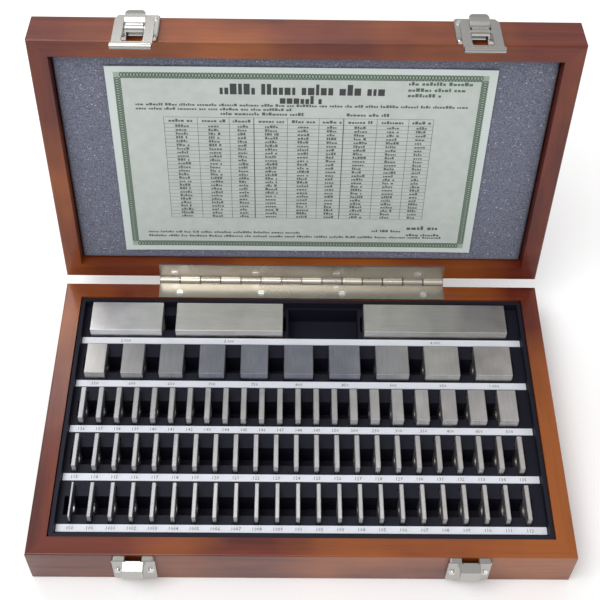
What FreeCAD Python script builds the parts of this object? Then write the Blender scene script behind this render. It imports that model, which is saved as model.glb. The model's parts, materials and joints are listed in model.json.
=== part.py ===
import FreeCAD, Part
import os
import re

import Sketcher

# A boxed set of 81 square gauge blocks: a mitred wooden case with a moulded tray, a foam-lined
# lid on a continuous hinge, and two toggle latches on the front.
#
# Row frame: millimetres, X to the right, Y to the back, Z up. The origin is the centre of the
# case's underside. The lid is modelled open, resting on the stop of its hinge.

doc = FreeCAD.newDocument("gauge_block_set")
sheet = doc.addObject("Spreadsheet::Sheet", "sizes")

SIZES = {
    # case
    "case_width": 342.0,
    "case_depth": 208.0,
    "base_height": 34.0,
    "lid_height": 26.0,
    "wall": 12.0,
    "bottom_panel": 5.0,
    "top_panel": 4.0,
    "edge_round": 1.0,
    "rim_gap": 0.3,
    "lid_open_angle": 96.0,
    # hinge
    "pin_offset": 3.5,
    "hinge_length": 206.8,
    "knuckles": 14.0,
    "knuckle_gap": 0.25,
    "knuckle_radius": 3.0,
    "leaf": 1.0,
    "pin_radius": 1.0,
    "pin_play": 0.05,
    "hinge_screw_pitch": 58.9,
    "lid_screw_shift": -4.3,
    "base_screw_inset": 7.7,
    "lid_screw_inset": 4.8,
    "wood_screw_head": 2.7,
    "wood_screw_shank": 1.4,
    "wood_screw_depth": 9.0,
    # tray
    "tray_gap": 0.5,
    "tray_rim": 2.6,
    "tray_rim_drop": 1.5,
    "ledge_drop": 8.0,
    "trough_width": 13.0,
    "trough_inset": 5.2,
    "trough_extra": 1.0,
    "slot_play": 0.35,
    "slot_front_play": 0.7,
    "slot_back_play": 1.2,
    "tray_wall": 1.7,
    "spare_depth": 15.0,
    "spare_left": -9.5,
    "spare_right": 40.5,
    # gauge blocks
    "inch": 25.4,
    "block_side": 24.13,
    "block_hole": 3.35,
    "countersink": 0.9,
    "row_left": -150.0,
    "row_right": 146.0,
    "first_row": -78.8,
    "row_pitch": 35.5,
    "long_gap": 9.6,
    # label strips
    "strip_length": 311.0,
    "strip_width": 5.0,
    "strip_thickness": 0.6,
    "strip_ahead": 6.5,
    # lid lining
    "foam_drop": 6.0,
    "foam_gap": 0.4,
    "paper_length": 246.5,
    "paper_width": 163.0,
    "paper_thickness": 0.3,
    "paper_shift": -3.0,
    # latches: rise is measured out from the case's front face, lift up from the rim
    "latch_spread": 104.2,
    "latch_width": 27.0,
    "latch_sheet": 0.9,
    "plate_rise": 2.8,
    "plate_bottom": 0.9,
    "plate_top": 24.5,
    "lever_pin_rise": 6.6,
    "lever_pin_lift": 4.2,
    "loop_pin_rise": 5.6,
    "loop_pin_lift": 10.2,
    "latch_pin": 1.0,
    "lever_width": 10.4,
    "lip_width": 12.4,
    "loop_width": 24.4,
    "loop_rise": 9.3,
    "loop_sheet": 1.2,
    "loop_top": 11.5,
    "loop_bottom": -20.4,
    "window_top": 8.6,
    "window_bottom": -14.4,
    "window_width": 13.0,
    "roll_radius": 2.1,
    "catch_rise": 3.4,
    "catch_top": -1.2,
    "catch_bottom": -26.5,
    "hook_rise": 8.9,
    "hook_width": 12.4,
    "hook_lip": -15.2,
    "latch_screw_spread": 10.2,
    "latch_screw_head": 2.2,
    "latch_screw_dome": 1.4,
    "latch_screw_shank": 1.2,
    "latch_screw_depth": 7.0,
    "plate_screw_lift": 19.3,
    "catch_screw_lift": -14.0,
}

for row, (alias, size) in enumerate(SIZES.items(), start=1):
    sheet.set(f"A{row}", alias)
    sheet.set(f"B{row}", str(size))
    sheet.setAlias(f"B{row}", alias)
doc.recompute()

# Nominal sizes in inches, row by row from the front of the tray to the back.
THOUSANDTHS = [round(0.101 + 0.001 * step, 3) for step in range(49)]
TEN_THOUSANDTHS = [round(0.1001 + 0.0001 * step, 4) for step in range(9)]
FIFTIES = [round(0.15 + 0.05 * step, 2) for step in range(18)]

NODES = []


def formula(text):
    """Write an expression: every size named in the text is looked up in the sheet."""
    return re.sub(r"[a-z]\w*", lambda m: f"sizes.{m[0]}" if m[0] in SIZES else m[0], str(text))


def bind(thing, **formulas):
    """Bind properties of a document object to expressions on the sheet."""
    for name, text in formulas.items():
        thing.setExpression(name, formula(text))


def place(thing, x="0", y="0", z="0"):
    bind(thing, **{"Placement.Base.x": x, "Placement.Base.y": y, "Placement.Base.z": z})


def size(text):
    """The present value of an expression on the sheet, for picking edges and counting."""
    names = {alias: float(sheet.get(alias)) for alias in SIZES}
    return float(FreeCAD.Units.Quantity(re.sub(r"[a-z]\w*", lambda m: str(names[m[0]]), str(text))))


def node(thing, label):
    """Name a finished sub-part; its label is the name of its file."""
    thing.Label = label
    NODES.append(thing)
    return thing


def brick(name, length, width, height, x, y, z):
    thing = doc.addObject("Part::Box", name)
    bind(thing, Length=length, Width=width, Height=height)
    place(thing, x, y, z)
    return thing


def rod(name, radius, height, x, y, z, along="Z"):
    """A cylinder that starts at a point and runs along +X, +Y, +Z or -Y."""
    thing = doc.addObject("Part::Cylinder", name)
    bind(thing, Radius=radius, Height=height)
    place(thing, x, y, z)
    thing.Placement.Rotation = {
        "X": FreeCAD.Rotation(FreeCAD.Vector(0, 1, 0), 90),
        "-Y": FreeCAD.Rotation(FreeCAD.Vector(1, 0, 0), 90),
        "Y": FreeCAD.Rotation(FreeCAD.Vector(1, 0, 0), -90),
        "Z": FreeCAD.Rotation(),
    }[along]
    return thing


def cut(name, base, *tools):
    thing = doc.addObject("Part::Cut", name)
    thing.Base = base
    thing.Tool = tools[0] if len(tools) == 1 else group(f"{name}_tools", tools)
    return thing


def group(name, members):
    thing = doc.addObject("Part::Compound", name)
    thing.Links = list(members)
    return thing


def round_edges(name, base, radius, wanted):
    """Round the edges whose midpoint the test accepts."""
    doc.recompute()
    thing = doc.addObject("Part::Fillet", name)
    thing.Base = base
    picked = [i + 1 for i, edge in enumerate(base.Shape.Edges) if wanted(middle(edge))]
    thing.Edges = [(i, size(radius), size(radius)) for i in picked]
    return thing


def middle(edge):
    return edge.valueAt((edge.FirstParameter + edge.LastParameter) / 2)


def body(name):
    return doc.addObject("PartDesign::Body", name)


def sketch(owner, name, plane):
    drawing = owner.newObject("Sketcher::SketchObject", name)
    origin_plane = next(f for f in owner.Origin.OriginFeatures if f.Role == f"{plane}_Plane")
    drawing.AttachmentSupport = [(origin_plane, "")]
    drawing.MapMode = "FlatFace"
    return drawing


def polygon(drawing, corners):
    """Draw a closed outline whose corners are expressions, each held by two dimensions."""
    first = drawing.GeometryCount
    spots = [FreeCAD.Vector(size(x), size(y), 0) for x, y in corners]
    for start, end in zip(spots, spots[1:] + spots[:1]):
        drawing.addGeometry(Part.LineSegment(start, end), False)
    for i, (x, y) in enumerate(corners):
        line = first + i
        following = first + (i + 1) % len(corners)
        drawing.addConstraint(Sketcher.Constraint("Coincident", line, 2, following, 1))
        for kind, text, value in (("DistanceX", x, spots[i].x), ("DistanceY", y, spots[i].y)):
            index = drawing.addConstraint(Sketcher.Constraint(kind, -1, 1, line, 1, value))
            drawing.setExpression(f"Constraints[{index}]", formula(text))


def circle(drawing, x, y, radius):
    spot = FreeCAD.Vector(size(x), size(y), 0)
    ring = drawing.addGeometry(Part.Circle(spot, FreeCAD.Vector(0, 0, 1), size(radius)), False)
    dimensions = (
        (Sketcher.Constraint("DistanceX", -1, 1, ring, 3, spot.x), x),
        (Sketcher.Constraint("DistanceY", -1, 1, ring, 3, spot.y), y),
        (Sketcher.Constraint("Radius", ring, size(radius)), radius),
    )
    for dimension, text in dimensions:
        index = drawing.addConstraint(dimension)
        drawing.setExpression(f"Constraints[{index}]", formula(text))


def feature(owner, kind, name, drawing, length, offset=None):
    """A pad or pocket through the middle of its sketch plane, or from an offset plane onwards."""
    thing = owner.newObject(f"PartDesign::{kind}", name)
    thing.Profile = drawing
    bind(thing, Length=length)
    if offset is None:
        thing.Midplane = True
    else:
        drawing.setExpression("AttachmentOffset.Base.z", formula(offset))
        thing.Reversed = kind == "Pocket"
    return thing


def soften(owner, kind, name, wanted, **amount):
    """Round or bevel the edges of a body's tip whose midpoint the test accepts."""
    doc.recompute()
    tip = owner.Tip
    picked = [f"Edge{i + 1}" for i, edge in enumerate(tip.Shape.Edges) if wanted(middle(edge))]
    thing = owner.newObject(f"PartDesign::{kind}", name)
    thing.Base = (tip, picked)
    bind(thing, **amount)
    return thing


def fillet(owner, name, radius, wanted):
    return soften(owner, "Fillet", name, wanted, Radius=radius)


def chamfer(owner, name, width, wanted):
    return soften(owner, "Chamfer", name, wanted, Size=width)


def near(point, **wanted):
    """True if the point's named coordinates are at the wanted places."""
    return all(abs(getattr(point, axis) - value) < 0.05 for axis, value in wanted.items())


def swing_with_lid(thing, x="0", y="0", z="0"):
    """Place a lid piece, modelled from the hinge pin's axis with the lid shut, in the open lid."""
    turn = "lid_open_angle * 1 deg"
    place(
        thing,
        x,
        f"case_depth / 2 + pin_offset + ({y}) * cos({turn}) + ({z}) * sin({turn})",
        f"base_height + rim_gap / 2 - ({y}) * sin({turn}) + ({z}) * cos({turn})",
    )
    thing.Placement.Rotation = FreeCAD.Rotation(FreeCAD.Vector(1, 0, 0), 0)
    bind(thing, **{"Placement.Rotation.Angle": "-lid_open_angle * 1 deg"})


# ---------------------------------------------------------------- wooden case


def mitred_board(name, along, sign, depth, bottom, height, top_round, bottom_round):
    """One side of a frame: a board with 45 degree ends, its outer long edges eased."""
    thing = body(name)
    drawing = sketch(thing, f"{name}_outline", "XY")
    half = "case_width / 2" if along == "X" else "case_depth / 2"
    reach = {"X": depth[0 if sign < 0 else 1], "Y": f"{sign} * case_width / 2"}[along]
    inner = f"({reach}) - {sign} * wall"
    if along == "X":
        outer_ends = [(f"-{half}", reach), (half, reach)]
        inner_ends = [(f"{half} - wall", inner), (f"-{half} + wall", inner)]
    else:
        front, back = depth
        outer_ends = [(reach, front), (reach, back)]
        inner_ends = [(inner, f"({back}) - wall"), (inner, f"({front}) + wall")]
    corners = outer_ends + inner_ends
    polygon(drawing, corners)
    feature(thing, "Pad", f"{name}_plank", drawing, height, offset=bottom)
    levels = []
    levels += [size(f"({bottom}) + {height}")] if top_round else []
    levels += [size(bottom)] if bottom_round else []
    outer = {"y" if along == "X" else "x": size(reach)}
    fillet(thing, f"{name}_easing", "edge_round", lambda p: any(near(p, z=z, **outer) for z in levels))
    return thing


def latch_pilots(part, front, lift):
    """Holes in a front board for the two screws of each latch plate."""
    signs = [(side, hand) for side in (-1, 1) for hand in (-1, 1)]
    spots = [f"{side} * latch_spread + {hand} * latch_screw_spread" for side, hand in signs]
    holes = []
    for number, x in enumerate(spots, start=1):
        name = f"{part}_latch_pilot_{number}"
        holes.append(rod(name, "latch_screw_shank", "latch_screw_depth", x, front, lift, along="Y"))
    return holes


def base_frame():
    depth = ("-case_depth / 2", "case_depth / 2")
    sides = (("front", "X", -1), ("back", "X", 1), ("left", "Y", -1), ("right", "Y", 1))
    for side, along, sign in sides:
        board = mitred_board(f"base_{side}", along, sign, depth, "0", "base_height", True, True)
        if side == "back":
            board = cut("base_back_mortised", board, leaf_mortise("base"), *pilot_holes("base"))
        if side == "front":
            holes = latch_pilots("base", depth[0], "base_height + catch_screw_lift")
            board = cut("base_front_drilled", board, *holes)
        node(board, f"base_{side}_board")
    inside = ("case_width - 2 * wall", "case_depth - 2 * wall")
    panel = brick(
        "bottom_panel_board", *inside, "bottom_panel", "-case_width / 2 + wall", "-case_depth / 2 + wall", "0"
    )
    node(panel, "base_bottom_panel")


def lid_frame():
    depth = ("-case_depth - pin_offset", "-pin_offset")
    height = "lid_height - top_panel"
    sides = (("front", "X", -1), ("back", "X", 1), ("left", "Y", -1), ("right", "Y", 1))
    for side, along, sign in sides:
        board = mitred_board(f"lid_{side}", along, sign, depth, "rim_gap / 2", height, False, True)
        if side == "back":
            board = cut("lid_back_mortised", board, leaf_mortise("lid"), *pilot_holes("lid"))
        if side == "front":
            holes = latch_pilots("lid", depth[0], "rim_gap / 2 + plate_screw_lift")
            board = cut("lid_front_drilled", board, *holes)
        swing_with_lid(board)
        node(board, f"lid_{side}_board")
    panel = brick(
        "top_panel_board",
        "case_width",
        "case_depth",
        "top_panel",
        "-case_width / 2",
        depth[0],
        f"rim_gap / 2 + {height}",
    )
    top = size("rim_gap / 2 + lid_height")
    eased = round_edges("top_panel_eased", panel, "edge_round", lambda p: near(p, z=top))
    swing_with_lid(eased)
    node(eased, "lid_top_panel")


# ---------------------------------------------------------------- continuous hinge


def hinge_face(part):
    """Back face and rim level of the base, or of the lid seen from the hinge pin's axis."""
    if part == "base":
        return "case_depth / 2", "base_height", 1
    return "-pin_offset", "rim_gap / 2", -1


def leaf_mortise(part):
    back, rim, up = hinge_face(part)
    floor = f"{rim} - leaf" if up > 0 else rim
    spot = ("-hinge_length / 2", f"{back} - wall", floor)
    return brick(f"{part}_mortise", "hinge_length", "wall", "leaf", *spot)


def screw_spots(part):
    """Places of the four screws of one leaf, along X and in from the back face."""
    shift = "0" if part == "base" else "lid_screw_shift"
    inset = f"{part}_screw_inset"
    return [(f"{step} * hinge_screw_pitch + {shift}", inset) for step in (-1.5, -0.5, 0.5, 1.5)]


def pilot_holes(part):
    back, rim, up = hinge_face(part)
    start = f"{rim} - wood_screw_depth" if up > 0 else rim
    holes = []
    for number, (x, inset) in enumerate(screw_spots(part), start=1):
        spot = (x, f"{back} - {inset}", start)
        holes.append(rod(f"{part}_pilot_{number}", "wood_screw_shank", "wood_screw_depth", *spot))
    return holes


def hinge_leaf(part):
    """A leaf let into the rim, with every second knuckle of the hinge rolled on its edge."""
    thing = body(f"{part}_leaf")
    back, rim, up = hinge_face(part)
    axis_y, axis_z = ("case_depth / 2 + pin_offset", "base_height + rim_gap / 2") if up > 0 else ("0", "0")
    low, high = (f"{rim} - leaf", rim) if up > 0 else (rim, f"{rim} + leaf")
    plate = sketch(thing, f"{part}_leaf_section", "YZ")
    clear = f"{axis_y} - knuckle_radius - 0.3"
    polygon(plate, [(f"{back} - wall", low), (clear, low), (clear, high), (f"{back} - wall", high)])
    feature(thing, "Pad", f"{part}_leaf_plate", plate, "hinge_length")

    pitch = "hinge_length / knuckles"
    first = "-hinge_length / 2 + knuckle_gap / 2" + (f" + {pitch}" if part == "lid" else "")
    length = f"{pitch} - knuckle_gap"
    neck = sketch(thing, f"{part}_neck_section", "YZ")
    meet = f"{axis_y} - 1.6"
    polygon(neck, [(f"{clear} - 0.5", low), (meet, low), (meet, high), (f"{clear} - 0.5", high)])
    neck_pad = feature(thing, "Pad", f"{part}_neck", neck, length, offset=first)
    roll = sketch(thing, f"{part}_roll_section", "YZ")
    circle(roll, axis_y, axis_z, "knuckle_radius")
    circle(roll, axis_y, axis_z, "pin_radius" if part == "base" else "pin_radius + pin_play")
    roll_pad = feature(thing, "Pad", f"{part}_roll", roll, length, offset=first)
    doc.recompute()
    rows = thing.newObject("PartDesign::LinearPattern", f"{part}_knuckles")
    rows.Originals = [neck_pad, roll_pad]
    rows.Direction = (roll, ["N_Axis"])
    rows.Occurrences = int(size("knuckles") / 2)
    half = rows.Occurrences - 1
    rows.Mode = "Extent"
    bind(rows, Length=f"{half} * 2 * {pitch}")
    thing.Tip = rows
    return thing


def countersinks(part):
    """Cones that seat the screw heads flush with the leaf's face."""
    back, rim, up = hinge_face(part)
    cones = []
    for number, (x, inset) in enumerate(screw_spots(part), start=1):
        cone = doc.addObject("Part::Cone", f"{part}_sink_{number}")
        narrow, wide = "wood_screw_shank", "wood_screw_head"
        radii = (narrow, wide) if up > 0 else (wide, narrow)
        bind(cone, Radius1=radii[0], Radius2=radii[1], Height="leaf")
        place(cone, x, f"{back} - {inset}", f"{rim} - leaf" if up > 0 else rim)
        cones.append(cone)
    return cones


def wood_screw(part, number, x, inset):
    """A countersunk slotted screw, seated in the leaf and its pilot hole."""
    back, rim, up = hinge_face(part)
    y = f"{back} - {inset}"
    name = f"{part}_hinge_screw_{number}"
    head = doc.addObject("Part::Cone", f"{name}_head")
    radii = ("wood_screw_shank", "wood_screw_head") if up > 0 else ("wood_screw_head", "wood_screw_shank")
    bind(head, Radius1=radii[0], Radius2=radii[1], Height="leaf")
    place(head, x, y, f"{rim} - leaf" if up > 0 else rim)
    shank_start = f"{rim} - wood_screw_depth" if up > 0 else f"{rim} + leaf"
    shank = rod(f"{name}_shank", "wood_screw_shank", "wood_screw_depth - leaf", x, y, shank_start)
    whole = doc.addObject("Part::Fuse", f"{name}_blank")
    whole.Base = head
    whole.Tool = shank
    slot = brick(f"{name}_slot", "6", "0.8", "1", f"{x} - 3", f"{y} - 0.4", f"{rim} - 0.5")
    return cut(name, whole, slot)


def hinge():
    for part in ("base", "lid"):
        leaf = cut(f"{part}_leaf_sunk", hinge_leaf(part), *countersinks(part))
        spots = enumerate(screw_spots(part), start=1)
        screws = group(f"{part}_hinge_screws", [wood_screw(part, n, *spot) for n, spot in spots])
        if part == "lid":
            swing_with_lid(leaf)
            swing_with_lid(screws)
        node(leaf, f"hinge_{part}_leaf")
        node(screws, f"hinge_{part}_screws")
    spot = ("-hinge_length / 2", "case_depth / 2 + pin_offset", "base_height + rim_gap / 2")
    node(rod("pin", "pin_radius", "hinge_length", *spot, along="X"), "hinge_pin")


# ---------------------------------------------------------------- gauge blocks


class Row:
    """One row of the tray: its blocks stand or lie with equal gaps from left to right."""

    def __init__(self, number, sizes, left="row_left"):
        self.number = number
        self.sizes = sizes
        self.left = left
        self.front = f"(first_row + {number - 1} * row_pitch)"

    def gap(self):
        total = round(sum(self.sizes), 4)
        return f"(row_right - {self.left} - {total} * inch) / {len(self.sizes) - 1}"

    def start(self, index):
        before = round(sum(self.sizes[:index]), 4)
        return f"{self.left} + {before} * inch + {index} * {self.gap()}"


class LongRow(Row):
    """The back row: two blocks from the left, a spare pocket, and one block at the right."""

    def start(self, index):
        before = round(sum(self.sizes[:index]), 4)
        if index < 2:
            return f"{self.left} + {before} * inch + {index} * long_gap"
        return f"row_right - {self.sizes[index]} * inch"


ROWS = [
    Row(1, [0.05, 0.1] + TEN_THOUSANDTHS + THOUSANDTHS[:12], left="(row_left + 2.2)"),
    Row(2, THOUSANDTHS[12:35]),
    Row(3, THOUSANDTHS[35:49] + FIFTIES[:8]),
    Row(4, FIFTIES[8:]),
    LongRow(5, [2.0, 3.0, 4.0]),
]


def gauge_block(name, row, index):
    """A square lapped block with the rod hole through its measuring faces."""
    inches = row.sizes[index]
    x = row.start(index)
    floor = "base_height - block_side"
    blank = brick(f"{name}_blank", f"{inches} * inch", "block_side", "block_side", x, row.front, floor)
    centre = (f"{row.front} + block_side / 2", f"{floor} + block_side / 2")
    hole = rod(f"{name}_hole", "block_hole", f"{inches} * inch", x, *centre, along="X")
    if inches < 0.5:
        return cut(name, blank, hole)
    cones = []
    for end, spot in (("left", x), ("right", f"{x} + {inches} * inch - countersink")):
        cone = doc.addObject("Part::Cone", f"{name}_{end}_sink")
        wide, narrow = "block_hole + countersink", "block_hole"
        radii = (wide, narrow) if end == "left" else (narrow, wide)
        bind(cone, Radius1=radii[0], Radius2=radii[1], Height="countersink")
        place(cone, spot, *centre)
        cone.Placement.Rotation = FreeCAD.Rotation(FreeCAD.Vector(0, 1, 0), 90)
        cones.append(cone)
    drilled = cut(f"{name}_drilled", blank, hole)
    return cut(name, drilled, *cones)


def block_name(inches):
    return f"block_{round(inches * 10000):05d}"


def gauge_blocks():
    for row in ROWS:
        made = [gauge_block(block_name(inches), row, i) for i, inches in enumerate(row.sizes)]
        if min(row.sizes) >= 0.5:
            for thing, inches in zip(made, row.sizes):
                node(thing, f"block_{round(inches * 1000):04d}")
            continue
        edges = {1: (2, 11, 23), 2: (23,), 3: (14, 22)}[row.number]
        names = {1: ("first", "fine", "thousandths"), 2: ("all",), 3: ("thin", "thick")}[row.number]
        for name, start, end in zip(names, (0,) + edges, edges):
            node(group(f"row_{row.number}_{name}", made[start:end]), f"blocks_row_{row.number}_{name}")


# ---------------------------------------------------------------- tray and labels


def block_tray():
    """One moulding: a raised rim, five ledges with a finger trough, and a slot for each block."""
    half_x, half_y = "(case_width / 2 - wall - tray_gap)", "(case_depth / 2 - wall - tray_gap)"
    top = "base_height - tray_rim_drop"
    ledge = "base_height - ledge_drop"
    outside = (f"2 * {half_x}", f"2 * {half_y}", f"{top} - bottom_panel")
    slab = brick("tray_slab", *outside, f"-{half_x}", f"-{half_y}", "bottom_panel")
    mid_height = size(f"({top} + bottom_panel) / 2")
    rounded = round_edges("tray_rounded", slab, "2", lambda p: near(p, z=mid_height))
    lips = (f"2 * {half_x} - 2 * tray_rim", f"2 * {half_y} - 2 * tray_rim", "ledge_drop")
    field = brick("tray_field", *lips, f"-{half_x} + tray_rim", f"-{half_y} + tray_rim", ledge)
    recessed = cut("tray_recessed", rounded, field)
    troughs = [trough(row, ends) for row in ROWS for ends in trough_parts(row)]
    slots = [slot(row, index) for row in ROWS for index in range(len(row.sizes))]
    troughed = cut("tray_troughed", recessed, *troughs)
    slotted = cut("tray_slotted", troughed, *slots)
    spare = brick(
        "spare_pocket",
        "spare_right - spare_left",
        "block_side + 0.6",
        "spare_depth",
        "spare_left",
        f"{ROWS[4].front} - 0.3",
        f"{ledge} - spare_depth",
    )
    pocketed = cut("tray_pocketed", slotted, spare)
    node(cut("tray_cored", pocketed, *land_cores()), "block_tray")


def trough_parts(row):
    """Start and end of the row's finger trough; the back row's trough stops at the spare pocket."""
    left, right = "row_left - 2.5", "row_right + 2.5"
    if row.number == 5:
        return [(left, "spare_left - tray_wall"), ("spare_right + tray_wall", right)]
    return [(left, right)]


def trough(row, ends):
    start, end = ends
    floor = "base_height - block_side - trough_extra"
    name = f"trough_{row.number}_{'a' if start.startswith('row') else 'b'}"
    spot = (start, f"{row.front} + trough_inset", floor)
    return brick(name, f"{end} - ({start})", "trough_width", "block_side", *spot)


def slot(row, index):
    inches = row.sizes[index]
    length = f"{inches} * inch + 2 * slot_play"
    width = "block_side + slot_front_play + slot_back_play"
    spot = (f"{row.start(index)} - slot_play", f"{row.front} - slot_front_play", "base_height - block_side")
    return brick(f"slot_{block_name(inches)}", length, width, "block_side", *spot)


def land_cores():
    """Hollows moulded from below into the lands between the rows, where the label strips lie."""
    width = "row_pitch - block_side - slot_front_play - slot_back_play - 2 * tray_wall"
    height = "base_height - ledge_drop - tray_wall - bottom_panel"
    cores = []
    for row in ROWS[:4]:
        spot = ("row_left", f"{row.front} + block_side + slot_back_play + tray_wall", "bottom_panel")
        cores.append(brick(f"core_{row.number}", "row_right - row_left", width, height, *spot))
    return cores


def label_strips():
    for row in ROWS:
        spot = ("-strip_length / 2", f"{row.front} - strip_ahead", "base_height - ledge_drop")
        strip = brick(f"strip_{row.number}", "strip_length", "strip_width", "strip_thickness", *spot)
        node(strip, f"label_strip_{row.number}")


# ---------------------------------------------------------------- lid lining


def lid_lining():
    inside = ("case_width - 2 * wall - 2 * foam_gap", "case_depth - 2 * wall - 2 * foam_gap")
    depth = "lid_height - top_panel - foam_drop"
    spot = (
        "-case_width / 2 + wall + foam_gap",
        "-case_depth - pin_offset + wall + foam_gap",
        "rim_gap / 2 + foam_drop",
    )
    foam = group("foam", [brick("foam_pad", *inside, depth, *spot)])
    swing_with_lid(foam)
    node(foam, "lid_foam")
    middle_y = "-case_depth / 2 - pin_offset"
    corner = (
        "-paper_length / 2 + paper_shift",
        f"{middle_y} - paper_width / 2",
        "rim_gap / 2 + foam_drop - paper_thickness",
    )
    paper = group("paper", [brick("paper_sheet", "paper_length", "paper_width", "paper_thickness", *corner)])
    swing_with_lid(paper)
    node(paper, "certificate")


# ---------------------------------------------------------------- latches
# Latch pieces are drawn in a section across the case: rise is out from the front face, so the
# sketch's first axis is minus the rise, and lift is up from the rim.


def section(owner, name, corners):
    drawing = sketch(owner, name, "YZ")
    polygon(drawing, [(f"-({rise})", lift) for rise, lift in corners])
    return drawing


def ring(owner, name, rise, lift, *radii):
    drawing = sketch(owner, name, "YZ")
    for radius in radii:
        circle(drawing, f"-({rise})", lift, radius)
    return drawing


def on_lid(thing, x):
    swing_with_lid(thing, x, "-case_depth - pin_offset", "rim_gap / 2")


def on_base(thing, x):
    place(thing, x, "-case_depth / 2", "base_height")


def cupped_plate(thing, name, rise, low, high):
    """A pressed plate: a shallow cup with its open side against the wood and rounded corners."""
    blank = section(thing, f"{name}_blank_section", [("0", low), (rise, low), (rise, high), ("0", high)])
    feature(thing, "Pad", f"{name}_blank", blank, "latch_width")
    corners = corner_test("latch_width / 2", low, high)
    fillet(thing, f"{name}_corners", "2", corners)
    chamfer(thing, f"{name}_edges", "0.5", lambda p: near(p, y=-size(rise)))
    inner = ("-1", f"{low} + latch_sheet"), (f"{rise} - latch_sheet", f"{low} + latch_sheet")
    outer = (f"{rise} - latch_sheet", f"{high} - latch_sheet"), ("-1", f"{high} - latch_sheet")
    cup = section(thing, f"{name}_cup_section", [*inner, *outer])
    feature(thing, "Pocket", f"{name}_cup", cup, "latch_width - 2 * latch_sheet")


def corner_test(half, *levels):
    """A test for the edges across the sheet at both ends of some levels."""
    heights = [size(level) for level in levels]
    side = size(half)
    return lambda p: any(near(p, z=z) for z in heights) and abs(abs(p.x) - side) < 0.05


def notch(thing, name, rise, low, high):
    """A tapering notch pressed out of the middle of the plate's rim-side wall."""
    drawing = sketch(thing, f"{name}_section", "XZ")
    polygon(drawing, [("-6", high), ("6", high), ("4.2", low), ("-4.2", low)])
    feature(thing, "Pocket", name, drawing, f"4 * {rise}")


def screw_holes(thing, name, lift):
    drawing = sketch(thing, f"{name}_section", "XZ")
    for side in ("-latch_screw_spread", "latch_screw_spread"):
        circle(drawing, side, lift, "latch_screw_shank")
    feature(thing, "Pocket", name, drawing, "4 * catch_rise")


def latch_plate(side, x):
    """The lid's half of a latch: a cupped plate with two lugs for the lever's pin."""
    name = f"latch_plate_{side}"
    thing = body(name)
    cupped_plate(thing, name, "plate_rise", "plate_bottom", "plate_top")
    notch(thing, f"{name}_notch", "plate_rise", "plate_bottom + 2.2", "plate_bottom - 0.5")
    screw_holes(thing, f"{name}_holes", "plate_screw_lift")
    pin = ("lever_pin_rise", "lever_pin_lift")
    root = "plate_rise - latch_sheet / 2"
    for hand, start in (("a", "lever_width / 2 + 0.2"), ("b", "-lever_width / 2 - 1")):
        outline = [
            (root, "plate_bottom + 1"),
            (pin[0], f"{pin[1]} - 2"),
            (pin[0], f"{pin[1]} + 2"),
            (root, "9.4"),
        ]
        web = section(thing, f"{name}_lug_{hand}_section", outline)
        feature(thing, "Pad", f"{name}_lug_{hand}", web, "0.8", offset=start)
        eye = ring(thing, f"{name}_eye_{hand}_section", *pin, "2")
        feature(thing, "Pad", f"{name}_eye_{hand}", eye, "0.8", offset=start)
    bore = ring(thing, f"{name}_bore_section", *pin, "latch_pin")
    feature(thing, "Pocket", f"{name}_bore", bore, "latch_width")
    on_lid(thing, x)
    node(thing, name)


def latch_lever(side, x):
    """The toggle lever: a folded channel round its pin, with a flared finger lip at the top."""
    name = f"latch_lever_{side}"
    thing = body(name)
    nose_rise, nose_lift = "lever_pin_rise + 3.6", "0.9"
    cheek = [
        ("6.2", nose_lift),
        (nose_rise, nose_lift),
        (nose_rise, "6.9"),
        ("8", "8.6"),
        ("loop_pin_rise + 1.7", "loop_pin_lift + 1.7"),
        ("loop_pin_rise - 1.7", "loop_pin_lift + 1.7"),
        ("lever_pin_rise - 3", "lever_pin_lift"),
    ]
    blank = section(thing, f"{name}_cheek_section", cheek)
    feature(thing, "Pad", f"{name}_cheeks", blank, "lever_width")
    front, bottom, top = size(nose_rise), size(nose_lift), size("loop_pin_lift + 1.7")
    fillet(thing, f"{name}_nose", "3", lambda p: near(p, x=0, y=-front, z=bottom))
    fillet(thing, f"{name}_ears", "1.5", lambda p: near(p, x=0, z=top))
    hollow = [
        ("2", f"{nose_lift} + 1"),
        (f"{nose_rise} - 1", f"{nose_lift} + 1"),
        (f"{nose_rise} - 1", "14"),
        ("2", "14"),
    ]
    channel = section(thing, f"{name}_channel_section", hollow)
    feature(thing, "Pocket", f"{name}_channel", channel, "lever_width - 2 * latch_sheet")
    fillet(thing, f"{name}_inner_nose", "2", lambda p: near(p, x=0, y=1 - front, z=bottom + 1))
    lip = [
        (f"{nose_rise} - 1", "5.4"),
        (nose_rise, "5.4"),
        (nose_rise, "6.4"),
        ("12", "8.1"),
        ("12", "12.2"),
        ("13", "14.4"),
        ("12.1", "14.8"),
        ("11", "12.4"),
        ("11", "8.6"),
        (f"{nose_rise} - 1", "6.9"),
    ]
    tongue = section(thing, f"{name}_lip_section", lip)
    feature(thing, "Pad", f"{name}_lip", tongue, "lip_width")
    lip_end = 14.6
    fillet(thing, f"{name}_lip_corners", "2.6", corner_test("lip_width / 2", lip_end))
    for pin, radius in (("lever", "latch_pin + pin_play"), ("loop", "latch_pin")):
        bore = ring(thing, f"{name}_{pin}_bore_section", f"{pin}_pin_rise", f"{pin}_pin_lift", radius)
        feature(thing, "Pocket", f"{name}_{pin}_bore", bore, "latch_width")
    on_lid(thing, x)
    node(thing, name)


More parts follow.
